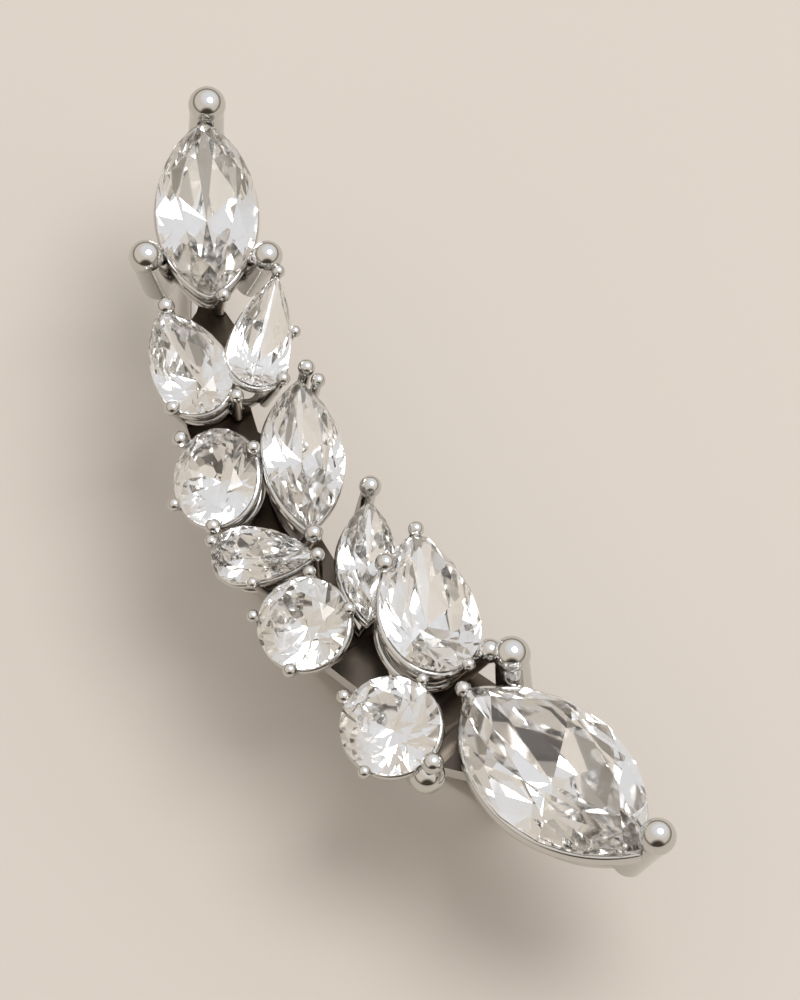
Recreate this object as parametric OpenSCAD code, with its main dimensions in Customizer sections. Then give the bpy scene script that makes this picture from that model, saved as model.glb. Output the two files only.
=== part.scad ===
// Ear climber: eleven clear cut stones in one cast setting that follows the edge of the ear,
// with a sprung wire behind it. It lies on the wire, stones up. X runs to the right of the
// front, Y towards its top end and Z up from the surface.

/* [Curve of the front] */
// Radius of the curve that the front follows
curve_r = 28; // [27:0.5:29]
// Lean outwards of a stone for each millimetre that it sits off the curve, in degrees
lean_rate = 9; // [8:0.5:10]
// Height of a stone's girdle above the underside of the setting
girdle_rise = 2.6; // [2.5:0.1:2.8]

/* [Stones] */
// Width of the table as a share of the stone's width
table_share = 0.58; // [0.54:0.01:0.62]
// Height of the crown as a share of the stone's width
crown_share = 0.17; // [0.15:0.01:0.19]
// Depth of the pavilion as a share of the stone's width
pavilion_share = 0.42; // [0.40:0.01:0.43]
// Thickness of the girdle as a share of the stone's width
girdle_share = 0.05; // [0.045:0.005:0.055]
// Space between a stone and the metal round it
seat_gap = 0.05; // [0.04:0.01:0.08]

/* [Setting] */
// Thickness of the wall of a cup
cup_wall = 0.3; // [0.26:0.01:0.34]
// Depth of the top of a cup below the middle of the girdle
cup_drop = 0.2; // [0.18:0.01:0.24]
// Height of the thin rails that tie a basket together
rail_h = 0.3; // [0.26:0.01:0.36]
// How far the lowest rail of a basket lies inside its stone's outline, as a share of the width
base_share = 0.18; // [0.16:0.01:0.2]
// How far a claw leans in from its ball to its foot, as a share of the stone's width
claw_splay = 0.2; // [0.18:0.01:0.22]
// Thickness of the web that fills the gaps between the baskets
web_t = 0.6; // [0.5:0.05:0.7]

/* [Ear wire] */
// Diameter of the ear wire
wire_d = 0.9; // [0.8:0.05:1]
// Clear space for the ear between the wire and the setting
ear_gap = 4.3; // [4.2:0.1:4.6]
// Radius of the curve of the ear wire, seen from above
wire_curve_r = 21; // [20.5:0.5:21.5]
// Inner bend where the ear wire turns back under the front
wire_bend_r = 1.4; // [1.2:0.1:1.6]
// Length of the straight free end of the ear wire, without its round tip
wire_end = 4; // [3.5:0.25:4.5]

/* [Hidden] */
$fn = 48;
eps = 0.01;

// Where the middle of the curve of the front, and that of the ear wire, lie from the origin
curve_at = [21.36, 10.13];
wire_at = [14.26, 9.13];
// Share of the crown that the outer corners of the star facets reach
star_share = 0.6;
// How far a cup stands outside its stone's outline, and how far its extra rail lies inside it
cup_out = 0.06;
rail_in = 0.1;
// Foot of a claw's stem against its top
stem_taper = 1.1;
// Radius of a claw's arms, and how near the middle of the stone the upper and lower ones reach
arm_r = 0.15;
upper_arm = 0.75;
lower_arm = 0.6;
// Width of the lowest rail that the web meets round the opening under a stone
web_lap = 0.2;
// Height of an opening, and how far below its basket it starts
opening_h = 3.5;
opening_drop = 1.5;
// Height of the boss that holds the ear wire, and how far the wire goes into it
boss_h = 0.9;
leg_in = 0.55;
// Gap in the wire that the solder fills, in degrees of its curve
joint_gap = 0.05;
wire_z = wire_d / 2 + eps;
base_z = wire_z + wire_d / 2 + ear_gap;
girdle_z = base_z + girdle_rise;
dome_r = 180 / PI / lean_rate;

// Stones: name, station on the curve in degrees, distance outwards off the curve, rise, extra
// lean in degrees, turn of the length in degrees, length, width, point at the far end and at
// the near end (1 sharp, 0 round), spread of the eight lower mains, height of the cup, depth of
// the extra rail (0 for none), depth of the basket
STATION = 1;
OUT = 2;
RISE = 3;
EXTRA = 4;
TURN = 5;
LENGTH = 6;
WIDTH = 7;
FAR = 8;
NEAR = 9;
MAINS = 10;
CUP = 11;
RAIL = 12;
DEPTH = 13;
stones = [
    ["top_marquise", 182.3, -0.2, 0, 0, 90, 6.5, 3.4, 0.6, 0.7, 0.6, 0.3, 1.1, 2.5],
    ["upper_pear", 193.5, 1.23, 0, 0, 102, 4.1, 2.6, 0, 0.8, 0.4, 0.3, 1, 2.1],
    ["small_pear", 192.8, -1.5, 0.45, 0, 66, 4.4, 2.1, 0, 1, 0.45, 0.3, 0, 2.2],
    ["upper_oval", 202.1, 1.6, 0, 6, 68, 3.4, 2.9, 0, 0, 0.3, 0.3, 1, 2],
    ["inner_marquise", 202.8, -1.4, 0, 0, 71, 5.75, 2.75, 1, 1, 0.5, 0.4, 0, 2],
    ["side_pear", 208.5, 1.4, 0, 0, 327, 3.5, 2, 0, 1, 0.45, 0.3, 0, 2],
    ["middle_round", 214, 1.6, 0, 6, 90, 3.15, 3.1, 0, 0, 0.3, 0.4, 0, 2],
    ["slim_marquise", 212, -1.6, -0.5, 0, 57, 4.8, 2.05, 1, 1, 0.55, 0.3, 0, 1.7],
    ["large_pear", 217.7, -2.15, 0.2, 0, 59, 5.6, 3.4, 0, 0.6, 0.45, 0.35, 1.1, 1.8],
    ["lower_round", 223.1, 1.7, 0, 0, 90, 3.4, 3.3, 0, 0, 0.3, 0.4, 0, 2],
    ["end_marquise", 233.4, -0.55, 0, 0, 80, 8.15, 4.9, 1, 1, 0.6, 0.5, 0, 2.3],
];

// Claws: stone, place along and across it, height of the ball above its girdle, ball diameter,
// radius of the stem as a share of that, tied to the basket by arms (1) or by its own stem (0)
claws = [
    ["top_marquise", -3.77, 0.13, 0.30, 1.26, 0.46, 1],
    ["top_marquise", 1.97, -2.09, 0.30, 1.16, 0.46, 1],
    ["top_marquise", 2.03, 1.93, 0.30, 1.04, 0.46, 1],
    ["top_marquise", 3.41, 0.44, 0.20, 0.50, 0.34, 1],
    ["upper_pear", -2.03, 0.24, 0.25, 0.64, 0.34, 0],
    ["upper_pear", 1.46, -1.15, 0.25, 0.54, 0.34, 0],
    ["upper_pear", 2.15, 0.90, 0.20, 0.50, 0.34, 1],
    ["small_pear", -2.32, 0.00, 0.10, 0.46, 0.34, 0],
    ["small_pear", 1.78, 0.95, 0.20, 0.48, 0.34, 0],
    ["small_pear", -0.18, 0.99, 0.15, 0.40, 0.34, 0],
    ["upper_oval", -1.43, -1.14, 0.20, 0.54, 0.34, 1],
    ["upper_oval", 1.79, -0.06, 0.20, 0.56, 0.34, 0],
    ["upper_oval", -0.78, 1.40, 0.20, 0.46, 0.34, 0],
    ["upper_oval", 0.83, -1.39, 0.20, 0.46, 0.34, 0],
    ["inner_marquise", -3.24, 0.27, 0.25, 0.58, 0.34, 1],
    ["inner_marquise", -2.77, 0.63, 0.25, 0.50, 0.34, 1],
    ["inner_marquise", 3.20, 0.06, 0.20, 0.64, 0.34, 1],
    ["side_pear", 1.76, -0.42, 0.15, 0.42, 0.34, 0],
    ["side_pear", -1.85, 0.11, 0.20, 0.50, 0.34, 0],
    ["side_pear", 0.27, 1.06, 0.15, 0.40, 0.34, 0],
    ["middle_round", 1.09, -1.25, 0.20, 0.50, 0.34, 0],
    ["middle_round", 0.71, 1.51, 0.20, 0.48, 0.34, 0],
    ["middle_round", -1.19, 1.21, 0.20, 0.44, 0.34, 0],
    ["middle_round", -1.23, -1.15, 0.20, 0.44, 0.34, 0],
    ["slim_marquise", -2.80, -0.02, 0.30, 0.74, 0.36, 0],
    ["large_pear", -2.91, -0.03, 0.20, 0.54, 0.34, 0],
    ["large_pear", -1.27, -1.37, 0.35, 0.70, 0.34, 0],
    ["large_pear", 2.08, 1.75, 0.25, 0.82, 0.40, 1],
    ["large_pear", 2.66, 0.95, 0.20, 0.46, 0.34, 0],
    ["lower_round", -1.78, -0.37, 0.20, 0.48, 0.34, 0],
    ["lower_round", 2.04, 0.05, 0.25, 0.74, 0.34, 1],
    ["lower_round", 0.57, -1.69, 0.20, 0.46, 0.34, 0],
    ["lower_round", -0.25, 1.80, 0.20, 0.44, 0.34, 0],
    ["lower_round", 1.87, -0.30, -0.75, 1.20, 0.48, 0],
    ["end_marquise", -3.95, 1.86, 0.35, 1.26, 0.46, 1],
    ["end_marquise", 4.16, 0.65, 0.30, 1.26, 0.46, 1],
    ["end_marquise", -4.12, -0.16, 0.20, 0.56, 0.34, 0],
];

// Web: station, inner and outer edge off the curve
web_edges = [
    [187, -0.4, 0.2],
    [188, -0.5, 0.4],
    [189.5, -0.8, 1],
    [192, -0.7, 1.6],
    [198, -0.6, 1.6],
    [200, -1.2, 1.6],
    [203, -1, 1.6],
    [210, -1, 1.5],
    [214, -1.7, 1.5],
    [218.5, -2, 1],
    [222, -2.3, 1.4],
    [226, -2.6, 1],
    [229, -2.6, 0.2],
];

// Stations where the ear wire's curve begins, under the front, and ends, towards its tip
wire_from = 236.5;
wire_to = 175.6;

function row(name) = stones[search([name], stones)[0]];

// A point of a stone's outline: half pointed arc, half ellipse, blended by the point's sharpness
function hub(s) = (s[NEAR] - s[FAR]) * (s[LENGTH] - s[WIDTH]) / 2;
function outline_point(s, t, grow) =
    let (
        sharp = cos(t) >= 0 ? s[FAR] : s[NEAR],
        reach = s[LENGTH] / 2 + grow - hub(s) * (cos(t) >= 0 ? 1 : -1),
        half = s[WIDTH] / 2 + grow,
        x = reach * cos(t),
        arc_r = (reach * reach + half * half) / (2 * half),
        arc_y = sqrt(max(arc_r * arc_r - x * x, 0)) - (arc_r - half)
    )
    [hub(s) + x, sharp * (sin(t) < 0 ? -arc_y : arc_y) + (1 - sharp) * half * sin(t)];
function outline(s, grow) = [for (t = [0:11.25:359]) outline_point(s, t, grow)];

// Eight points, one at each end, each side and each slant between them, moved outwards by grow
function eight(s, grow) = [for (t = [0:45:359]) outline_point(s, t, grow)];

// Where a main facet at an end or a side meets the slanting one beside it, at a share of the way
// from the girdle to the eight inner points
function between(s, inner, i, share, grow) =
    let (p = outline_point(s, 45 * i, grow)) p + (inner[i] - p) * share;
function facet_corner(s, inner, k, share, grow) =
    let (
        slant = k % 2 == 0 ? k + 1 : k,
        straight = k % 2 == 0 ? k : (k + 1) % 8,
        p = between(s, inner, slant, share, grow),
        along = outline_point(s, 45 * slant + 22.5, grow) - outline_point(s, 45 * slant - 22.5, grow),
        end = between(s, inner, straight, share, grow)
    )
    straight % 4 == 0
        ? [end[0], p[1] + along[1] * (end[0] - p[0]) / along[0]]
        : [p[0] + along[0] * (end[1] - p[1]) / along[1], end[1]];
function facet_corners(s, inner, share, grow, z) = [
    for (k = [0:7]) let (p = facet_corner(s, inner, k, share, grow)) [p[0], p[1], z]
];

// A point of the outline at height z
function rim_point(s, m, grow, z) =
    let (p = outline_point(s, 11.25 * m, grow)) [p[0], p[1], z];

// 32 points round the girdle: every other one dips, so that each half facet stays flat
function rim_ring(s, corners, grow, z) = [
    for (m = [0:31])
        let (
            p = rim_point(s, m, grow, z),
            c = corners[floor(m / 4)],
            n = cross(rim_point(s, m - 1, grow, z) - c, rim_point(s, m + 1, grow, z) - c)
        )
        m % 2 == 0 ? p : [p[0], p[1], c[2] - (n[0] * (p[0] - c[0]) + n[1] * (p[1] - c[1])) / n[2]]
];

// Brilliant cut: table, eight stars, eight mains, sixteen halves, girdle and the like below
module cut_stone(s, grow) {
    rim = girdle_share / 2 * s[WIDTH];
    crown = crown_share * s[WIDTH];
    deep = pavilion_share * s[WIDTH] + grow / 2;
    top = rim + grow;
    low = -rim - grow / 2;
    table = eight(s, -(1 - table_share) / 2 * s[WIDTH]);
    middle = [for (i = [0:7]) [hub(s), 0]];
    stars = facet_corners(s, table, star_share, grow, top + star_share * crown);
    mains = facet_corners(s, middle, 1 - s[MAINS], grow, low - (1 - s[MAINS]) * deep);
    points = concat(
        [for (p = table) [p[0], p[1], top + crown]],
        stars,
        rim_ring(s, stars, grow, top),
        rim_ring(s, mains, grow, low),
        mains,
        [[hub(s), 0, low - deep]]
    );
    star = 8;
    upper = 16;
    lower = 48;
    main = 80;
    culet = 88;
    faces = concat(
        [[for (i = [7:-1:0]) i]],
        [for (i = [0:7]) [i, (i + 1) % 8, star + i]],
        [for (i = [0:7]) [i, star + i, upper + 4 * i, star + (i + 7) % 8]],
        [for (i = [0:7]) [star + i, upper + 4 * i + 2, upper + 4 * i + 1, upper + 4 * i]],
        [for (i = [0:7]) [star + i, upper + (4 * i + 4) % 32, upper + 4 * i + 3, upper + 4 * i + 2]],
        [for (m = [0:31]) [upper + m, upper + (m + 1) % 32, lower + (m + 1) % 32, lower + m]],
        [for (i = [0:7]) [main + i, lower + 4 * i, lower + 4 * i + 1, lower + 4 * i + 2]],
        [for (i = [0:7]) [main + i, lower + 4 * i + 2, lower + 4 * i + 3, lower + (4 * i + 4) % 32]],
        [for (i = [0:7]) [main + i, culet, main + (i + 7) % 8, lower + 4 * i]]
    );
    polyhedron(points, faces, convexity = 4);
}

// Puts its children in a stone's own frame, with the length along X and the table up
module at_stone(s) {
    lean = lean_rate * s[OUT] + s[EXTRA];
    translate([curve_at[0], curve_at[1], girdle_z + s[RISE] - s[OUT] * s[OUT] / (2 * dome_r)])
        rotate([0, 0, s[STATION]])
            translate([curve_r + s[OUT], 0, 0])
                rotate([0, lean, 0])
                    rotate([0, 0, s[TURN]])
                        children();
}

module stone(name) {
    color("aliceblue") at_stone(row(name)) cut_stone(row(name), 0);
}

// Upright wall that follows a stone's outline
module wall(s, z, tall, outer, thick) {
    translate([0, 0, z - tall])
        linear_extrude(tall)
            difference() {
                polygon(outline(s, outer));
                polygon(outline(s, outer - thick));
            }
}

// Puts its children at point a, with Z towards point b
module aim(a, b) {
    d = b - a;
    translate(a)
        rotate([0, acos(d[2] / norm(d)), atan2(d[1], d[0])])
            children();
}

// Short round bar from a point towards the middle of the stone, at the same height
module arm(a, reach) {
    aim(a, [a[0] * reach, a[1] * reach, a[2]]) cylinder(h = norm([a[0], a[1]]) * (1 - reach), r = arm_r);
}

// A claw: a tapered stem with a ball on top, and two arms where it stands off from the basket
module claw(s, c) {
    away = norm([c[1], c[2]]);
    inward = (away - claw_splay * s[WIDTH]) / away;
    foot = [c[1] * inward, c[2] * inward, rail_h / 2 - s[DEPTH]];
    ball = [c[1], c[2], c[3]];
    waist = foot + (ball - foot) * (-cup_drop - rail_h / 2 - foot[2]) / (ball[2] - foot[2]);
    tall = norm(ball - foot);
    stem_r = c[5] * c[4];
    aim(foot, ball)
        rotate_extrude()
            intersection() {
                union() {
                    translate([0, tall]) circle(d = c[4]);
                    polygon([[0, 0], [stem_r * stem_taper, 0], [stem_r, tall], [0, tall]]);
                }
                translate([0, -1]) square([2, tall + 3]);
            }
    if (c[6] == 1) {
        arm(waist, upper_arm);
        arm(foot, lower_arm);
    }
}

// Cup, rails and claws of one stone
module basket(s) {
    wall(s, -cup_drop, s[CUP], cup_out, cup_wall);
    if (s[RAIL] > 0) wall(s, -s[RAIL], rail_h, -rail_in, cup_wall);
    wall(s, rail_h - s[DEPTH], rail_h, -base_share * s[WIDTH], cup_wall);
    for (c = claws) if (c[0] == s[0]) claw(s, c);
}

// Point at a station, a distance off the curve
function off_curve(station, off) = (curve_r + off) * [cos(station), sin(station)];

// Flat plate along the curve that fills the gaps, open under each stone
module web() {
    first = web_edges[0][0];
    last = web_edges[len(web_edges) - 1][0];
    inner = [for (w = web_edges) [w[0], w[1]]];
    outer = [for (w = web_edges) [w[0], w[2]]];
    difference() {
        translate([curve_at[0], curve_at[1], base_z])
            linear_extrude(web_t)
                polygon(concat(
                    [for (a = [first:last]) off_curve(a, lookup(a, outer))],
                    [for (a = [last:-1:first]) off_curve(a, lookup(a, inner))]
                ));
        for (s = stones)
            at_stone(s)
                translate([0, 0, -s[DEPTH] - opening_drop])
                    linear_extrude(opening_h)
                        polygon(outline(s, -base_share * s[WIDTH] - web_lap));
    }
}

// Puts its children where the ear wire's curve begins, with X along the wire to its tip
module at_wire_start() {
    translate([wire_at[0], wire_at[1], wire_z])
        rotate([0, 0, wire_from])
            translate([wire_curve_r, 0, 0])
                rotate([0, 0, -90])
                    children();
}

module setting() {
    color("silver")
        difference() {
            union() {
                for (s = stones) at_stone(s) basket(s);
                web();
                at_wire_start()
                    translate([-wire_bend_r, 0, base_z - wire_z]) cylinder(h = boss_h, d = 2 * wire_d);
            }
            for (s = stones) at_stone(s) cut_stone(s, seat_gap);
            at_wire_start()
                translate([-wire_bend_r, 0, base_z - wire_z - boss_h])
                    cylinder(h = boss_h + leg_in + seat_gap, d = wire_d + 2 * seat_gap);
        }
}

// Leg out of the setting, bend, curve behind the front and straight free end with a round tip;
// a trace of solder fills the joint of the bend and the curve
module ear_wire() {
    sweep = wire_from - wire_to;
    color("silver")
        at_wire_start() {
            translate([-wire_bend_r, 0, wire_bend_r])
                cylinder(h = base_z - wire_z - wire_bend_r + leg_in, d = wire_d);
            translate([0, 0, wire_bend_r])
                rotate([90, 0, 0])
                    rotate([0, 0, 180])
                        rotate_extrude(angle = 90)
                            translate([wire_bend_r, 0]) circle(d = wire_d);
            rotate([0, 90, 0]) cylinder(h = wire_d / 4, d = wire_d + 2 * eps, center = true);
            translate([0, -wire_curve_r, 0])
                rotate([0, 0, 90 - sweep]) {
                    rotate_extrude(angle = sweep - joint_gap)
                        translate([wire_curve_r, 0]) circle(d = wire_d);
                    translate([wire_curve_r, 0, 0])
                        rotate([90, 0, 0])
                            cylinder(h = wire_end, d = wire_d);
                    translate([wire_curve_r, -wire_end, 0])
                        sphere(d = wire_d);
                }
        }
}

stone("top_marquise");  // top_marquise
stone("upper_pear");  // upper_pear
stone("small_pear");  // small_pear
stone("upper_oval");  // upper_oval
stone("inner_marquise");  // inner_marquise
stone("side_pear");  // side_pear
stone("middle_round");  // middle_round
stone("slim_marquise");  // slim_marquise
stone("large_pear");  // large_pear
stone("lower_round");  // lower_round
stone("end_marquise");  // end_marquise
setting();
ear_wire();
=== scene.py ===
import math

import bpy
from mathutils import Matrix, Vector


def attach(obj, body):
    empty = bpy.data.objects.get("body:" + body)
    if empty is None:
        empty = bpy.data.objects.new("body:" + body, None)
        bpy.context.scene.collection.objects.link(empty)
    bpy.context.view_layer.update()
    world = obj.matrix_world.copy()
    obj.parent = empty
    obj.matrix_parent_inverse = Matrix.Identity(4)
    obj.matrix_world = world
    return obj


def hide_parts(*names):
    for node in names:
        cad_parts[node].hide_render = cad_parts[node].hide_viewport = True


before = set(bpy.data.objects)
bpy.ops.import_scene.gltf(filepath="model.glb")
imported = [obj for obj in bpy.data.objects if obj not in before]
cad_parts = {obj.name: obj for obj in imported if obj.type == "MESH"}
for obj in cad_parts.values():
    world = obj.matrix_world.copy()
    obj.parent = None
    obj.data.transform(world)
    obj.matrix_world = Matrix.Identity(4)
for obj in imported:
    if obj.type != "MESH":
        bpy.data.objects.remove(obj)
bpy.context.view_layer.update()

mm = 0.001

# Where things lie, in millimetres and degrees, as in the solids
layout = {
    "curveRadius": 28,
    "curveMiddle": (21.36, 10.13),
    "girdleHeight": 7.81,
    "undersideHeight": 5.21,
    "leanRate": 9,
}

# Stones: station on the curve, distance outwards off it, rise, extra lean, turn, length, width,
# point at the far and near end (1 sharp, 0 round), spread of the eight lower mains, cup height,
# depth of the extra rail, basket depth
stoneColumns = "name station out rise extra turn length width far near mains cup rail depth".split()
stoneRows = [
    ("top_marquise", 182.3, -0.2, 0, 0, 90, 6.5, 3.4, 0.6, 0.7, 0.6, 0.3, 1.1, 2.5),
    ("upper_pear", 193.5, 1.23, 0, 0, 102, 4.1, 2.6, 0, 0.8, 0.4, 0.3, 1, 2.1),
    ("small_pear", 192.8, -1.5, 0.45, 0, 66, 4.4, 2.1, 0, 1, 0.45, 0.3, 0, 2.2),
    ("upper_oval", 202.1, 1.6, 0, 6, 68, 3.4, 2.9, 0, 0, 0.3, 0.3, 1, 2),
    ("inner_marquise", 202.8, -1.4, 0, 0, 71, 5.75, 2.75, 1, 1, 0.5, 0.4, 0, 2),
    ("side_pear", 208.5, 1.4, 0, 0, 327, 3.5, 2, 0, 1, 0.45, 0.3, 0, 2),
    ("middle_round", 214, 1.6, 0, 6, 90, 3.15, 3.1, 0, 0, 0.3, 0.4, 0, 2),
    ("slim_marquise", 212, -1.6, -0.5, 0, 57, 4.8, 2.05, 1, 1, 0.55, 0.3, 0, 1.7),
    ("large_pear", 217.7, -2.15, 0.2, 0, 59, 5.6, 3.4, 0, 0.6, 0.45, 0.35, 1.1, 1.8),
    ("lower_round", 223.1, 1.7, 0, 0, 90, 3.4, 3.3, 0, 0, 0.3, 0.4, 0, 2),
    ("end_marquise", 233.4, -0.55, 0, 0, 80, 8.15, 4.9, 1, 1, 0.6, 0.5, 0, 2.3),
]
stones = {row[0]: dict(zip(stoneColumns, row)) for row in stoneRows}

# Claws: stone, place along and across it, height of the ball over the girdle, ball diameter,
# radius of the stem as a share of that, tied to the basket by arms (1) or by its own stem (0)
clawRows = [
    ("top_marquise", -3.77, 0.13, 0.30, 1.26, 0.46, 1),
    ("top_marquise", 1.97, -2.09, 0.30, 1.16, 0.46, 1),
    ("top_marquise", 2.03, 1.93, 0.30, 1.04, 0.46, 1),
    ("top_marquise", 3.41, 0.44, 0.20, 0.50, 0.34, 1),
    ("upper_pear", -2.03, 0.24, 0.25, 0.64, 0.34, 0),
    ("upper_pear", 1.46, -1.15, 0.25, 0.54, 0.34, 0),
    ("upper_pear", 2.15, 0.90, 0.20, 0.50, 0.34, 1),
    ("small_pear", -2.32, 0.00, 0.10, 0.46, 0.34, 0),
    ("small_pear", 1.78, 0.95, 0.20, 0.48, 0.34, 0),
    ("small_pear", -0.18, 0.99, 0.15, 0.40, 0.34, 0),
    ("upper_oval", -1.43, -1.14, 0.20, 0.54, 0.34, 1),
    ("upper_oval", 1.79, -0.06, 0.20, 0.56, 0.34, 0),
    ("upper_oval", -0.78, 1.40, 0.20, 0.46, 0.34, 0),
    ("upper_oval", 0.83, -1.39, 0.20, 0.46, 0.34, 0),
    ("inner_marquise", -3.24, 0.27, 0.25, 0.58, 0.34, 1),
    ("inner_marquise", -2.77, 0.63, 0.25, 0.50, 0.34, 1),
    ("inner_marquise", 3.20, 0.06, 0.20, 0.64, 0.34, 1),
    ("side_pear", 1.76, -0.42, 0.15, 0.42, 0.34, 0),
    ("side_pear", -1.85, 0.11, 0.20, 0.50, 0.34, 0),
    ("side_pear", 0.27, 1.06, 0.15, 0.40, 0.34, 0),
    ("middle_round", 1.09, -1.25, 0.20, 0.50, 0.34, 0),
    ("middle_round", 0.71, 1.51, 0.20, 0.48, 0.34, 0),
    ("middle_round", -1.19, 1.21, 0.20, 0.44, 0.34, 0),
    ("middle_round", -1.23, -1.15, 0.20, 0.44, 0.34, 0),
    ("slim_marquise", -2.80, -0.02, 0.30, 0.74, 0.36, 0),
    ("large_pear", -2.91, -0.03, 0.20, 0.54, 0.34, 0),
    ("large_pear", -1.27, -1.37, 0.35, 0.70, 0.34, 0),
    ("large_pear", 2.08, 1.75, 0.25, 0.82, 0.40, 1),
    ("large_pear", 2.66, 0.95, 0.20, 0.46, 0.34, 0),
    ("lower_round", -1.78, -0.37, 0.20, 0.48, 0.34, 0),
    ("lower_round", 2.04, 0.05, 0.25, 0.74, 0.34, 1),
    ("lower_round", 0.57, -1.69, 0.20, 0.46, 0.34, 0),
    ("lower_round", -0.25, 1.80, 0.20, 0.44, 0.34, 0),
    ("lower_round", 1.87, -0.30, -0.75, 1.20, 0.48, 0),
    ("end_marquise", -3.95, 1.86, 0.35, 1.26, 0.46, 1),
    ("end_marquise", 4.16, 0.65, 0.30, 1.26, 0.46, 1),
    ("end_marquise", -4.12, -0.16, 0.20, 0.56, 0.34, 0),
]


def fromHex(text):
    # linear colour of an sRGB hex value
    parts = [int(text[i:i + 2], 16) / 255 for i in (1, 3, 5)]
    return [c / 12.92 if c <= 0.04045 else ((c + 0.055) / 1.055) ** 2.4 for c in parts] + [1]


def addNode(tree, kind, inputs=None, **settings):
    # inputs by name or number: a socket is linked, anything else is set as the value
    node = tree.nodes.new(kind)
    for name, value in settings.items():
        setattr(node, name, value)
    for name, value in (inputs or {}).items():
        if isinstance(value, bpy.types.NodeSocket):
            tree.links.new(value, node.inputs[name])
        else:
            node.inputs[name].default_value = value
    return node


def newMaterial(name):
    material = bpy.data.materials.new(name)
    material.use_nodes = True
    material.node_tree.nodes.clear()
    return material, material.node_tree


# Shapes in a stone's own frame

def hubOf(stone):
    return (stone["near"] - stone["far"]) * (stone["length"] - stone["width"]) / 2


def outlinePoint(stone, turn, grow):
    # half pointed arc, half ellipse, blended by how sharp the end is
    hub = hubOf(stone)
    c, s = math.cos(math.radians(turn)), math.sin(math.radians(turn))
    sharp = stone["far"] if c >= 0 else stone["near"]
    reach = stone["length"] / 2 + grow - hub * (1 if c >= 0 else -1)
    half = stone["width"] / 2 + grow
    x = reach * c
    arc = (reach * reach + half * half) / (2 * half)
    y = math.copysign(math.sqrt(max(arc * arc - x * x, 0)) - (arc - half), s)
    return hub + x, sharp * y + (1 - sharp) * half * s


def stonePlace(stone):
    # from the stone's frame, length along X and table up, to the object's, in millimetres
    dome = 180 / math.pi / layout["leanRate"]
    out = stone["out"]
    height = layout["girdleHeight"] + stone["rise"] - out * out / (2 * dome)
    lean = layout["leanRate"] * out + stone["extra"]
    return (
        Matrix.Translation((*layout["curveMiddle"], height))
        @ Matrix.Rotation(math.radians(stone["station"]), 4, "Z")
        @ Matrix.Translation((layout["curveRadius"] + out, 0, 0))
        @ Matrix.Rotation(math.radians(lean), 4, "Y")
        @ Matrix.Rotation(math.radians(stone["turn"]), 4, "Z")
    )


def meshObject(name, points, faces):
    mesh = bpy.data.meshes.new(name)
    mesh.from_pydata([tuple(p) for p in points], [], faces)
    mesh.update()
    made = bpy.data.objects.new(name, mesh)
    bpy.context.scene.collection.objects.link(made)
    return made


cut = {
    "table": 0.58,          # width of the table as a share of the stone's
    "crown": 0.17,          # heights as shares of the width
    "pavilion": 0.42,
    "girdle": 0.05,
    "stars": 0.6,           # share of the crown's height at which the star facets' eight corners lie
    "seatGap": 0.05,        # mm round a stone in its seat, and round the wire's leg
    "lowerFacets": 24,      # the last faces of a stone's mesh, which carry the foil
    "sharpAngle": 1,        # degrees: every facet is flat
}


def facetCorner(stone, inner, k, share, grow):
    # where a main facet at an end or a side meets the slanting one beside it, at a share of the way
    # from the girdle to the eight inner points
    slant, straight = (k + 1, k) if k % 2 == 0 else (k, (k + 1) % 8)

    def between(i):
        x, y = outlinePoint(stone, 45 * i, grow)
        return x + (inner[i][0] - x) * share, y + (inner[i][1] - y) * share

    x, y = between(slant)
    ax, ay = outlinePoint(stone, 45 * slant - 22.5, grow)
    bx, by = outlinePoint(stone, 45 * slant + 22.5, grow)
    endX, endY = between(straight)
    if straight % 4 == 0:
        return endX, y + (by - ay) * (endX - x) / (bx - ax)
    return x + (bx - ax) * (endY - y) / (by - ay), endY


def rimRing(stone, corners, z, grow):
    # 32 points round the girdle: every other one dips, so that each half facet stays flat
    ring = []
    for m in range(32):
        x, y = outlinePoint(stone, 11.25 * m, grow)
        height = z
        if m % 2:
            corner = Vector(corners[m // 4])
            before = Vector((*outlinePoint(stone, 11.25 * (m - 1), grow), z))
            after = Vector((*outlinePoint(stone, 11.25 * (m + 1), grow), z))
            n = (before - corner).cross(after - corner)
            height = corner.z - (n.x * (x - corner.x) + n.y * (y - corner.y)) / n.z
        ring.append((x, y, height))
    return ring


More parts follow.
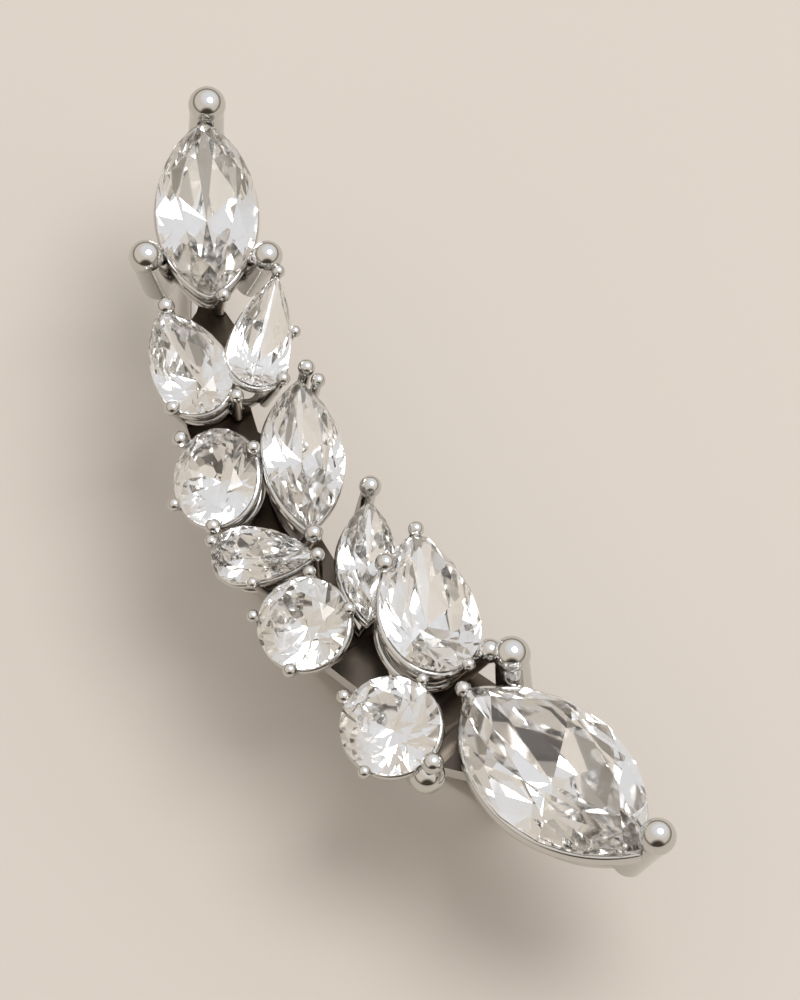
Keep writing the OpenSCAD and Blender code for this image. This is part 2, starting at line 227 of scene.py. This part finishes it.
def cutStone(name, stone, grow):
    # brilliant cut with flat facets, grown a little where it cuts a seat out of the metal
    place, hub = stonePlace(stone), hubOf(stone)
    crown, deep = cut["crown"] * stone["width"], cut["pavilion"] * stone["width"] + grow / 2
    rim = cut["girdle"] / 2 * stone["width"]
    inset = (1 - cut["table"]) / 2 * stone["width"]
    top, low = rim + grow, -rim - grow / 2
    table = [outlinePoint(stone, 45 * i, -inset) for i in range(8)]
    middle = [(hub, 0)] * 8
    spread = 1 - stone["mains"]
    reach = cut["stars"]
    stars = [(*facetCorner(stone, table, k, reach, grow), top + reach * crown) for k in range(8)]
    mains = [(*facetCorner(stone, middle, k, spread, grow), low - spread * deep) for k in range(8)]
    points = [(x, y, top + crown) for x, y in table] + stars
    points += rimRing(stone, stars, top, grow) + rimRing(stone, mains, low, grow) + mains
    points.append((hub, 0, low - deep))
    star, upper, lower, main, culet = 8, 16, 48, 80, 88
    faces, below = [tuple(range(8))], []
    for i in range(8):
        j, before, m = (i + 1) % 8, (i + 7) % 8, 4 * i
        last = (m + 4) % 32
        faces += [
            (i, star + i, j),
            (i, star + before, upper + m, star + i),
            (star + i, upper + m, upper + m + 1, upper + m + 2),
            (star + i, upper + m + 2, upper + m + 3, upper + last),
        ]
        below += [
            (main + i, lower + m + 2, lower + m + 1, lower + m),
            (main + i, lower + last, lower + m + 3, lower + m + 2),
            (main + i, lower + m, main + before, culet),
        ]
    for m in range(32):
        after = (m + 1) % 32
        faces.append((upper + m, lower + m, lower + after, upper + after))
    return meshObject(name, [place @ Vector(p) for p in points], faces + below)


# Cast metal round the stones

basket = {
    "cupDrop": 0.2,         # mm from the middle of the girdle down to the top of the cup
    "cupOuter": 0.06,       # mm outside the stone's outline
    "railOuter": -0.1,
    "baseShare": 0.18,      # of the stone's width, from its outline in to the lowest rail
    "wall": 0.3,            # mm thick, cup and rails
    "rail": 0.3,            # mm high
    "cornerShare": 0.45,    # radius of a rail's corners as a share of its smaller side
    "roundSteps": 3,        # per corner of the section
    "turns": 72,            # round the stone
    "clawSplay": 0.2,       # of the stone's width
    "stemTaper": 1.1,       # foot of a stem against its top
    "neck": 0.25,           # radius of the hollow under a ball, as a share of the ball's radius
    "neckSteps": 5,
    "ballSteps": 18,
    "ballCap": 0.03,        # radians left flat at the top of a ball
    "clawSides": 28,
    "armRadius": 0.15,      # mm
    "armSides": 14,
    "armReach": (0.75, 0.6),    # where the upper and lower arm end, as shares of the claw's distance
    "sharpAngle": 38,       # degrees
}


def roundedSection(width, height):
    # points round a rectangle with round corners, from 0 to -width and 0 to -height
    corner = basket["cornerShare"] * min(width, height)
    points = []
    for k, (x, z) in enumerate([(0, 0), (-width, 0), (-width, -height), (0, -height)]):
        cx = x - corner if x == 0 else x + corner
        cz = z - corner if z == 0 else z + corner
        for i in range(basket["roundSteps"] + 1):
            a = math.radians(90 * (k + i / basket["roundSteps"]))
            points.append((cx + corner * math.cos(a), cz + corner * math.sin(a)))
    return points


def ringWall(stone, top, tall, outer):
    place = stonePlace(stone)
    section = roundedSection(basket["wall"], tall)
    turns, around = basket["turns"], len(section)
    points, faces = [], []
    for i in range(turns):
        for offset, z in section:
            x, y = outlinePoint(stone, 360 * i / turns, outer + offset)
            points.append(place @ Vector((x, y, top + z)))
        for k in range(around):
            a, b = i * around + k, i * around + (k + 1) % around
            c, d = (b + around) % (turns * around), (a + around) % (turns * around)
            faces.append((a, d, c, b))
    return meshObject("wall", points, faces)


def turnedTree():
    # follows each line of the input with a round wire as thick as its points say
    tree = bpy.data.node_groups.new("turnedWire", "GeometryNodeTree")
    face = tree.interface
    face.new_socket("Geometry", in_out="INPUT", socket_type="NodeSocketGeometry")
    sides = face.new_socket("Sides", in_out="INPUT", socket_type="NodeSocketInt")
    face.new_socket("Metal", in_out="INPUT", socket_type="NodeSocketMaterial")
    face.new_socket("Geometry", in_out="OUTPUT", socket_type="NodeSocketGeometry")
    sides.default_value = 16
    given = addNode(tree, "NodeGroupInput")
    thick = addNode(tree, "GeometryNodeInputNamedAttribute", {"Name": "wireRadius"}, data_type="FLOAT")
    line = addNode(tree, "GeometryNodeMeshToCurve", {"Mesh": given.outputs["Geometry"]})
    circle = addNode(tree, "GeometryNodeCurvePrimitiveCircle",
                     {"Resolution": given.outputs["Sides"], "Radius": 1.0})
    swept = addNode(tree, "GeometryNodeCurveToMesh",
                    {"Curve": line.outputs["Curve"], "Profile Curve": circle.outputs["Curve"],
                     "Scale": thick.outputs["Attribute"], "Fill Caps": True})
    whole = addNode(tree, "GeometryNodeRealizeInstances", {"Geometry": swept.outputs["Mesh"]})
    painted = addNode(tree, "GeometryNodeSetMaterial",
                      {"Geometry": whole.outputs["Geometry"], "Material": given.outputs["Metal"]})
    addNode(tree, "NodeGroupOutput", {"Geometry": painted.outputs["Geometry"]})
    return tree


def turned(name, lines, sides, metal):
    # lines is a list of lists of (point, radius)
    mesh = bpy.data.meshes.new(name)
    points, edges, radii = [], [], []
    for line in lines:
        start = len(points)
        points += [tuple(p) for p, r in line]
        radii += [r for p, r in line]
        edges += [(start + i, start + i + 1) for i in range(len(line) - 1)]
    mesh.from_pydata(points, edges, [])
    mesh.attributes.new("wireRadius", "FLOAT", "POINT").data.foreach_set("value", radii)
    made = bpy.data.objects.new(name, mesh)
    bpy.context.scene.collection.objects.link(made)
    wire = made.modifiers.new("turnedWire", "NODES")
    wire.node_group = wireTree
    named = {s.name: s.identifier for s in wireTree.interface.items_tree if s.in_out == "INPUT"}
    wire[named["Sides"]] = sides
    wire[named["Metal"]] = metal
    bpy.context.view_layer.update()
    plain = bpy.data.meshes.new_from_object(made.evaluated_get(bpy.context.evaluated_depsgraph_get()))
    made.modifiers.remove(wire)
    made.data = plain
    return made


def clawLine(foot, ball, radius, stem):
    # stem, hollow neck and ball as one turned profile
    axis = (ball - foot).normalized()
    tall = (ball - foot).length
    hollow = basket["neck"] * radius
    drop = math.sqrt((radius + hollow) ** 2 - (stem + hollow) ** 2)
    meet = math.asin(drop / (radius + hollow))
    taper, steps = basket["stemTaper"], basket["neckSteps"]
    profile = [(0, taper * stem), ((tall - drop) / 2, (1 + taper) / 2 * stem)]
    for i in range(steps + 1):
        a = meet * i / steps
        profile.append((tall - drop + hollow * math.sin(a), stem + hollow * (1 - math.cos(a))))
    steps = basket["ballSteps"]
    for i in range(1, steps + 1):
        a = -meet + (math.pi / 2 - basket["ballCap"] + meet) * i / steps
        profile.append((tall + radius * math.sin(a), radius * math.cos(a)))
    return [(foot + axis * z, r) for z, r in profile]


def clawParts():
    claws, arms = [], []
    for name, x, y, up, size, share, armed in clawRows:
        stone = stones[name]
        place = stonePlace(stone)
        away = math.hypot(x, y)
        inward = (away - basket["clawSplay"] * stone["width"]) / away
        foot = Vector((x * inward, y * inward, basket["rail"] / 2 - stone["depth"]))
        ball = Vector((x, y, up))
        claws.append(clawLine(place @ foot, place @ ball, size / 2, share * size))
        if armed:
            level = -basket["cupDrop"] - basket["rail"] / 2
            waist = foot + (ball - foot) * (level - foot.z) / (ball.z - foot.z)
            for start, reach in zip((waist, foot), basket["armReach"]):
                end = Vector((start.x * reach, start.y * reach, start.z))
                arms.append([(place @ start, basket["armRadius"]), (place @ end, basket["armRadius"])])
    return claws, arms


web = {
    # station, inner and outer edge off the curve in mm
    "edges": [(187, -0.4, 0.2), (188, -0.5, 0.4), (189.5, -0.8, 1), (192, -0.7, 1.6), (198, -0.6, 1.6),
              (200, -1.2, 1.6), (203, -1, 1.6), (210, -1, 1.5), (214, -1.7, 1.5), (218.5, -2, 1),
              (222, -2.3, 1.4), (226, -2.6, 1), (229, -2.6, 0.2)],
    "thick": 0.6,
    "lap": 0.2,             # how far it reaches in under the lowest rail, round each opening
    "holeDrop": 1.5,        # of an opening's low end under its basket
    "holeHeight": 3.5,
    "stepDegrees": 1,
}
spring = {
    "diameter": 0.9,
    "curveRadius": 21,
    "curveMiddle": (14.26, 9.13),
    "fromStation": 236.5,   # degrees round its own curve, from the leg to the straight end
    "toStation": 175.6,
    "bend": 1.4,            # mm, radius between the leg and the curve
    "middleHeight": 0.46,   # mm over the floor
    "end": 4,               # mm, length of the straight end
    "into": 0.55,           # mm that the leg goes into the boss
    "bossHeight": 0.9,
    "bossSides": 40,
    "sides": 32,
    "bendSteps": 12,
    "curveSteps": 60,
    "tipSteps": 8,
    "tipSweep": 88,         # degrees of the round tip
}


def onArc(middle, radius, station, height):
    a = math.radians(station)
    return Vector((middle[0] + radius * math.cos(a), middle[1] + radius * math.sin(a), height))


def webPlate():
    # flat plate along the curve, as wide as its edges say; it lies low, where the metal's painted shade
    # darkens its top
    middle, radius, low = layout["curveMiddle"], layout["curveRadius"], layout["undersideHeight"]
    points = []
    for (first, inA, outA), (last, inB, outB) in zip(web["edges"], web["edges"][1:]):
        count = round((last - first) / web["stepDegrees"])
        for i in range(count + (last == web["edges"][-1][0])):
            part = i / count
            for off, z in ((inA + (inB - inA) * part, low), (outA + (outB - outA) * part, low),
                           (outA + (outB - outA) * part, low + web["thick"]),
                           (inA + (inB - inA) * part, low + web["thick"])):
                points.append(onArc(middle, radius + off, first + (last - first) * part, z))
    faces = [(3, 2, 1, 0)]
    for a in range(0, len(points) - 4, 4):
        for k in range(4):
            b = (k + 1) % 4
            faces.append((a + k, a + b, a + 4 + b, a + 4 + k))
    faces.append(tuple(len(points) - 4 + k for k in range(4)))
    return meshObject("web", points, faces)


def webHole(stone):
    # upright opening under a stone, in the stone's own frame
    place = stonePlace(stone)
    inset = basket["baseShare"] * stone["width"] + web["lap"]
    rim = [outlinePoint(stone, 360 * i / basket["turns"], -inset) for i in range(basket["turns"])]
    low = -stone["depth"] - web["holeDrop"]
    points = [place @ Vector((x, y, z)) for z in (low, low + web["holeHeight"]) for x, y in rim]
    count = len(rim)
    faces = [tuple(reversed(range(count))), tuple(range(count, 2 * count))]
    faces += [(i, (i + 1) % count, count + (i + 1) % count, count + i) for i in range(count)]
    return meshObject("hole", points, faces)


def springLine():
    # leg, bend, curve and straight end with a round tip
    middle, radius, thick = spring["curveMiddle"], spring["curveRadius"], spring["diameter"] / 2
    start = onArc(middle, radius, spring["fromStation"], spring["middleHeight"])
    a = math.radians(spring["fromStation"])
    along = Vector((math.sin(a), -math.cos(a), 0))
    up = Vector((0, 0, 1))
    bend = spring["bend"]
    top = layout["undersideHeight"] + spring["into"]
    line = [(start - along * bend + up * (top - spring["middleHeight"]), thick)]
    for i in range(spring["bendSteps"] + 1):
        t = math.radians(90 * i / spring["bendSteps"])
        line.append((start + up * bend - along * bend * math.cos(t) - up * bend * math.sin(t), thick))
    count = spring["curveSteps"]
    for i in range(1, count + 1):
        station = spring["fromStation"] + (spring["toStation"] - spring["fromStation"]) * i / count
        line.append((onArc(middle, radius, station, spring["middleHeight"]), thick))
    b = math.radians(spring["toStation"])
    ahead = Vector((math.sin(b), -math.cos(b), 0))
    tip = line[-1][0] + ahead * spring["end"]
    for i in range(spring["tipSteps"] + 1):
        t = math.radians(spring["tipSweep"] * i / spring["tipSteps"])
        line.append((tip + ahead * thick * math.sin(t), thick * math.cos(t)))
    return line


def looseParts(made):
    bpy.ops.object.select_all(action="DESELECT")
    made.select_set(True)
    bpy.context.view_layer.objects.active = made
    bpy.ops.object.mode_set(mode="EDIT")
    bpy.ops.mesh.select_all(action="SELECT")
    bpy.ops.mesh.separate(type="LOOSE")
    bpy.ops.object.mode_set(mode="OBJECT")
    return list(bpy.context.selected_objects)


def fused(name, solids, cutters, metal):
    # joins the solids into one skin and takes the cutters out of it
    boxes = []
    for kind, group in (("UNION", solids[1:]), ("DIFFERENCE", cutters)):
        if not group:
            continue
        box = bpy.data.collections.new(kind.lower())
        bpy.context.scene.collection.children.link(box)
        boxes.append(box)
        for o in group:
            box.objects.link(o)
        step = solids[0].modifiers.new(kind.lower(), "BOOLEAN")
        step.operation, step.operand_type = kind, "COLLECTION"
        step.solver, step.collection = "MANIFOLD", box
    bpy.context.view_layer.update()
    body = solids[0]
    mesh = bpy.data.meshes.new_from_object(body.evaluated_get(bpy.context.evaluated_depsgraph_get()))
    for o in solids + cutters:
        bpy.data.objects.remove(o)
    for box in boxes:
        bpy.data.collections.remove(box)
    mesh.materials.clear()
    mesh.materials.append(metal)
    made = bpy.data.objects.new(name, mesh)
    bpy.context.scene.collection.objects.link(made)
    return made


def finishPiece(made, name, angle):
    # to metres, smooth apart from edges sharper than the angle
    made.name = name
    made.data.name = name
    made.data.transform(Matrix.Scale(mm, 4))
    made.data.shade_smooth()
    made.data.set_sharp_from_angle(angle=math.radians(angle))
    print(name, len(made.data.polygons), "faces")


# Materials

castLook = {
    "name": "rhodiumPlateOnCastBrass",
    "open": "#D4D3D0",
    # colour of the painted shade in the recesses and on the low floor
    "paintedShade": "#4C3F30",
    "recessReach": 2.2,     # mm
    "recessOpen": (0.12, 0.6),  # share of open air round a point, from full painted shade to none
    "recessSamples": 8,
    "recessRough": 0.3,
    # painted shade: what faces up is dark under the first of these heights in mm and bright over the
    # second
    "shadeHeights": (5.9, 7.0),
    "facing": (0.5, 0.8),   # upward part of the face's direction, from free of painted shade to shaded
    "leftBright": 0.08,     # share of the open tone that the painted shade on the low floor keeps
    "polish": (0.04, 0.11),     # roughness, least and most
    "marks": 0.15,          # mm between the wheel's marks
    "ripple": 0.9,          # mm
    "rippleDepth": 0.02,    # mm
    "rippleStrength": 0.25,
    "rippleDetail": 2,
    "edge": 0.045,          # mm, radius of the worn edges
    "edgeSamples": 6,
}
wireLook = {
    **castLook,
    "name": "rhodiumPlateOnDrawnWire",
    "shadeHeights": (-2, -1),     # nothing lies so low: the wire gets no painted shade by height
    "ripple": 3,
    "edge": 0.02,
}
polishing = {
    "detail": 3,
    "spread": (0.3, 0.75),  # values of the noise that give the least and the most roughness
}


def polishMarks(tree, look):
    # roughness that wanders between the look's two values in soft patches
    place = addNode(tree, "ShaderNodeTexCoord")
    marks = addNode(tree, "ShaderNodeTexNoise",
                    {"Vector": place.outputs["Object"], "Scale": 1 / (look["marks"] * mm),
                     "Detail": polishing["detail"]})
    return addNode(tree, "ShaderNodeMapRange",
                   {"Value": marks.outputs["Fac"],
                    "From Min": polishing["spread"][0], "From Max": polishing["spread"][1],
                    "To Min": look["polish"][0], "To Max": look["polish"][1]})


def rhodiumPlate(look):
    # Rhodium plate on brass: a bright neutral polished mirror with a faint ripple and fine marks.
    # Painted shade darkens its colour in the recesses and on low upward faces, which are also made dull
    # there.
    material, tree = newMaterial(look["name"])
    place = addNode(tree, "ShaderNodeTexCoord")
    # painted shade in the recesses: less open air round a point of the setting gives a darker colour
    around = addNode(tree, "ShaderNodeAmbientOcclusion", {"Distance": look["recessReach"] * mm},
                     samples=look["recessSamples"], only_local=True)
    height = addNode(tree, "ShaderNodeSeparateXYZ", {0: place.outputs["Object"]})
    # painted shade on the setting's low floor: upward faces under the given heights go dark
    high = addNode(tree, "ShaderNodeMapRange",
                   {"Value": height.outputs["Z"], "From Min": look["shadeHeights"][0] * mm,
                    "From Max": look["shadeHeights"][1] * mm,
                    "To Min": look["leftBright"], "To Max": 1.0})
    face = addNode(tree, "ShaderNodeNewGeometry")
    upward = addNode(tree, "ShaderNodeSeparateXYZ", {0: face.outputs["Normal"]})
    sideways = addNode(tree, "ShaderNodeMapRange",
                       {"Value": upward.outputs["Z"], "From Min": look["facing"][0],
                        "From Max": look["facing"][1], "To Min": 1.0, "To Max": 0.0})
    shadeFreeByHeight = addNode(tree, "ShaderNodeMath",
                      {0: high.outputs["Result"], 1: sideways.outputs["Result"]}, operation="MAXIMUM")
    opening = addNode(tree, "ShaderNodeMapRange",
                      {"Value": around.outputs["AO"], "From Min": look["recessOpen"][0],
                       "From Max": look["recessOpen"][1]})
    shadeFree = addNode(tree, "ShaderNodeMath", {0: shadeFreeByHeight.outputs[0], 1: opening.outputs["Result"]},
                      operation="MULTIPLY")
    # the colour goes from the open tone to the painted shade colour, as the two masks say
    tone = addNode(tree, "ShaderNodeMix",
                   {0: shadeFree.outputs[0], 6: fromHex(look["paintedShade"]), 7: fromHex(look["open"])},
                   data_type="RGBA")
    polished = polishMarks(tree, look)
    rough = addNode(tree, "ShaderNodeMix",
                    {0: shadeFree.outputs[0], 2: look["recessRough"], 3: polished.outputs["Result"]})
    ripple = addNode(tree, "ShaderNodeTexNoise",
                     {"Vector": place.outputs["Object"], "Scale": 1 / (look["ripple"] * mm),
                      "Detail": look["rippleDetail"]})
    edge = addNode(tree, "ShaderNodeBevel", {"Radius": look["edge"] * mm}, samples=look["edgeSamples"])
    bump = addNode(tree, "ShaderNodeBump",
                   {"Height": ripple.outputs["Fac"], "Strength": look["rippleStrength"],
                    "Distance": look["rippleDepth"] * mm, "Normal": edge.outputs["Normal"]})
    metal = addNode(tree, "ShaderNodeBsdfPrincipled",
                    {"Base Color": tone.outputs[2], "Metallic": 1.0,
                     "Roughness": rough.outputs[0], "Normal": bump.outputs["Normal"]})
    addNode(tree, "ShaderNodeOutputMaterial", {"Surface": metal.outputs["BSDF"]})
    return material


crystalLook = {
    "colour": "#FFFFFF",
    "refraction": 1.6,
    "polish": (0.0, 0.02),
    "marks": 0.6,           # mm
}
foilLook = {
    "colour": "#EDECEA",
    "polish": (0.02, 0.09),
    "marks": 0.4,           # mm
}


def clearStone():
    # Lead crystal, cut and fire polished: clear, with sharp flat facets that flare and go grey in turn
    material, tree = newMaterial("leadCrystal")
    stone = addNode(tree, "ShaderNodeBsdfPrincipled",
                    {"Base Color": fromHex(crystalLook["colour"]),
                     "Roughness": polishMarks(tree, crystalLook).outputs["Result"],
                     "IOR": crystalLook["refraction"], "Transmission Weight": 1.0})
    addNode(tree, "ShaderNodeOutputMaterial", {"Surface": stone.outputs["BSDF"]})
    return material


def foilBack():
    # Silver foil fired on a stone's lower facets: a thin bright mirror, a little wrinkled, that
    # throws the light back up through the clear crown
    material, tree = newMaterial("silverFoil")
    foil = addNode(tree, "ShaderNodeBsdfPrincipled",
                   {"Base Color": fromHex(foilLook["colour"]), "Metallic": 1.0,
                    "Roughness": polishMarks(tree, foilLook).outputs["Result"]})
    addNode(tree, "ShaderNodeOutputMaterial", {"Surface": foil.outputs["BSDF"]})
    return material


floorLook = {
    "colour": "#C8C0B6",
    "rough": 0.7,
}


def paleFloor():
    # Card, pressed and uncoated: an even matt ground that takes soft shadows
    material, tree = newMaterial("paleMattBoard")
    board = addNode(tree, "ShaderNodeBsdfPrincipled",
                    {"Base Color": fromHex(floorLook["colour"]), "Roughness": floorLook["rough"]})
    addNode(tree, "ShaderNodeOutputMaterial", {"Surface": board.outputs["BSDF"]})
    return material


# Studio

view = {
    "elevation": 62,        # degrees above the floor
    "lens": 500,
    "sensor": 36,
    "distance": 458,        # mm from the target
    "target": (0.0, -1.0, 6.0),
    "clip": (0.01, 10),     # m
}
studio = {
    "floor": 900,           # mm
    "key": {"toward": (0.3, 0.08, 0.95), "distance": 300, "radius": 85, "watts": 0.42},
    # a light tent: warm walls, and a darker foot between two heights in degrees
    "walls": {"colour": "#FFF4E7", "strength": 0.84},
    "foot": {"colour": "#B3A999", "strength": 0.6, "from": 4, "to": 20},
    # round patches on it, from their soft edge to their full strength in degrees off their middle
    "ceiling": {"toward": (0.25, 0.3, 0.92), "colour": "#F7F9FF", "strength": 1.06, "from": 62, "to": 24},
    "front": {"elevation": 6, "colour": "#8A7C6C", "strength": 0.3, "from": 46, "to": 24},
    "bounces": 24,
    "mirrorBounces": 12,
}


def makeCamera(scene):
    e = math.radians(view["elevation"])
    back = Vector((0, -math.cos(e), math.sin(e)))
    camera = bpy.data.objects.new("camera", bpy.data.cameras.new("camera"))
    camera.data.lens = view["lens"]
    camera.data.sensor_width = view["sensor"]
    camera.location = (Vector(view["target"]) + back * view["distance"]) * mm
    camera.rotation_mode = "QUATERNION"
    camera.rotation_quaternion = (-back).to_track_quat("-Z", "Y")
    camera.data.clip_start, camera.data.clip_end = view["clip"]
    scene.collection.objects.link(camera)
    scene.camera = camera


def makeFloor():
    half = studio["floor"] / 2 * mm
    corners = [(-half, -half, 0), (half, -half, 0), (half, half, 0), (-half, half, 0)]
    floor = meshObject("floor", corners, [(0, 1, 2, 3)])
    floor.data.materials.append(paleFloor())


def makeKey(scene):
    key = studio["key"]
    toward = Vector(key["toward"]).normalized()
    lamp = bpy.data.objects.new("key", bpy.data.lights.new("key", "AREA"))
    lamp.data.shape, lamp.data.size, lamp.data.energy = "DISK", 2 * key["radius"] * mm, key["watts"]
    lamp.location = toward * key["distance"] * mm
    lamp.rotation_mode = "QUATERNION"
    lamp.rotation_quaternion = (-toward).to_track_quat("-Z", "Y")
    scene.collection.objects.link(lamp)


def softShare(tree, value, low, high):
    # from 0 to 1 as the value goes from low to high
    return addNode(tree, "ShaderNodeMapRange", {"Value": value, "From Min": low, "From Max": high},
                   interpolation_type="SMOOTHSTEP").outputs["Result"]


def tentLight(tree, part):
    return addNode(tree, "ShaderNodeBackground",
                   {"Color": fromHex(part["colour"]), "Strength": part["strength"]}).outputs[0]


def makeTent(scene):
    world = bpy.data.worlds.new("lightTent")
    world.use_nodes = True
    scene.world = world
    tree = world.node_tree
    tree.nodes.clear()
    place = addNode(tree, "ShaderNodeTexCoord")
    foot, low = studio["foot"], math.radians(studio["front"]["elevation"])
    up = addNode(tree, "ShaderNodeSeparateXYZ", {0: place.outputs["Generated"]})
    above = softShare(tree, up.outputs["Z"], math.sin(math.radians(foot["from"])),
                      math.sin(math.radians(foot["to"])))
    light = addNode(tree, "ShaderNodeMixShader",
                    {0: above, 1: tentLight(tree, foot), 2: tentLight(tree, studio["walls"])}).outputs[0]
    for name, toward in (("ceiling", Vector(studio["ceiling"]["toward"]).normalized()),
                         ("front", Vector((0, -math.cos(low), math.sin(low))))):
        part = studio[name]
        along = addNode(tree, "ShaderNodeVectorMath",
                        {0: place.outputs["Generated"], 1: tuple(toward)}, operation="DOT_PRODUCT")
        share = softShare(tree, along.outputs["Value"], math.cos(math.radians(part["from"])),
                          math.cos(math.radians(part["to"])))
        light = addNode(tree, "ShaderNodeMixShader",
                        {0: share, 1: light, 2: tentLight(tree, part)}).outputs[0]
    addNode(tree, "ShaderNodeOutputWorld", {"Surface": light})


scene = bpy.context.scene
makeCamera(scene)
makeFloor()
makeKey(scene)
makeTent(scene)
scene.view_settings.view_transform = "Standard"
scene.cycles.max_bounces = studio["bounces"]
scene.cycles.glossy_bounces = studio["mirrorBounces"]
scene.cycles.transmission_bounces = studio["bounces"]
print("studio ready")

metal = rhodiumPlate(castLook)
wireMetal = rhodiumPlate(wireLook)
crystal = clearStone()
foil = foilBack()
wireTree = turnedTree()

walls = []
for stone in stones.values():
    walls.append(ringWall(stone, -basket["cupDrop"], stone["cup"], basket["cupOuter"]))
    if stone["rail"] > 0:
        walls.append(ringWall(stone, -stone["rail"], basket["rail"], basket["railOuter"]))
    walls.append(ringWall(stone, basket["rail"] - stone["depth"], basket["rail"],
                          -basket["baseShare"] * stone["width"]))
clawLines, armLines = clawParts()
parts = looseParts(turned("claws", clawLines, basket["clawSides"], metal))
parts += looseParts(turned("arms", armLines, basket["armSides"], metal))
parts.append(fused("web", [webPlate()], [webHole(stone) for stone in stones.values()], metal))
legTop = springLine()[0][0]
bossFoot = Vector((legTop.x, legTop.y, layout["undersideHeight"]))
up = Vector((0, 0, 1))
bossLine = [(bossFoot, spring["diameter"]), (bossFoot + up * spring["bossHeight"], spring["diameter"])]
parts.append(turned("boss", [bossLine], spring["bossSides"], metal))
boreRadius = spring["diameter"] / 2 + cut["seatGap"]
boreLine = [(bossFoot - up, boreRadius), (legTop + up * cut["seatGap"], boreRadius)]
cutters = [cutStone("seat", stone, cut["seatGap"]) for stone in stones.values()]
cutters.append(turned("bore", [boreLine], spring["bossSides"], metal))
setting = fused("setting", walls + parts, cutters, metal)
finishPiece(setting, "cast_setting", basket["sharpAngle"])
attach(setting, "root")
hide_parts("setting")

wire = turned("spring", [springLine()], spring["sides"], wireMetal)
finishPiece(wire, "sprung_wire", basket["sharpAngle"])
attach(wire, "root")
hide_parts("ear_wire")
print("metal ready")

for name, stone in stones.items():
    made = cutStone(name, stone, 0)
    finishPiece(made, "cut_" + name, cut["sharpAngle"])
    made.data.materials.append(crystal)
    made.data.materials.append(foil)
    for face in made.data.polygons[-cut["lowerFacets"]:]:
        face.material_index = 1
    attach(made, "root")
    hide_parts(name)
print("stones ready")
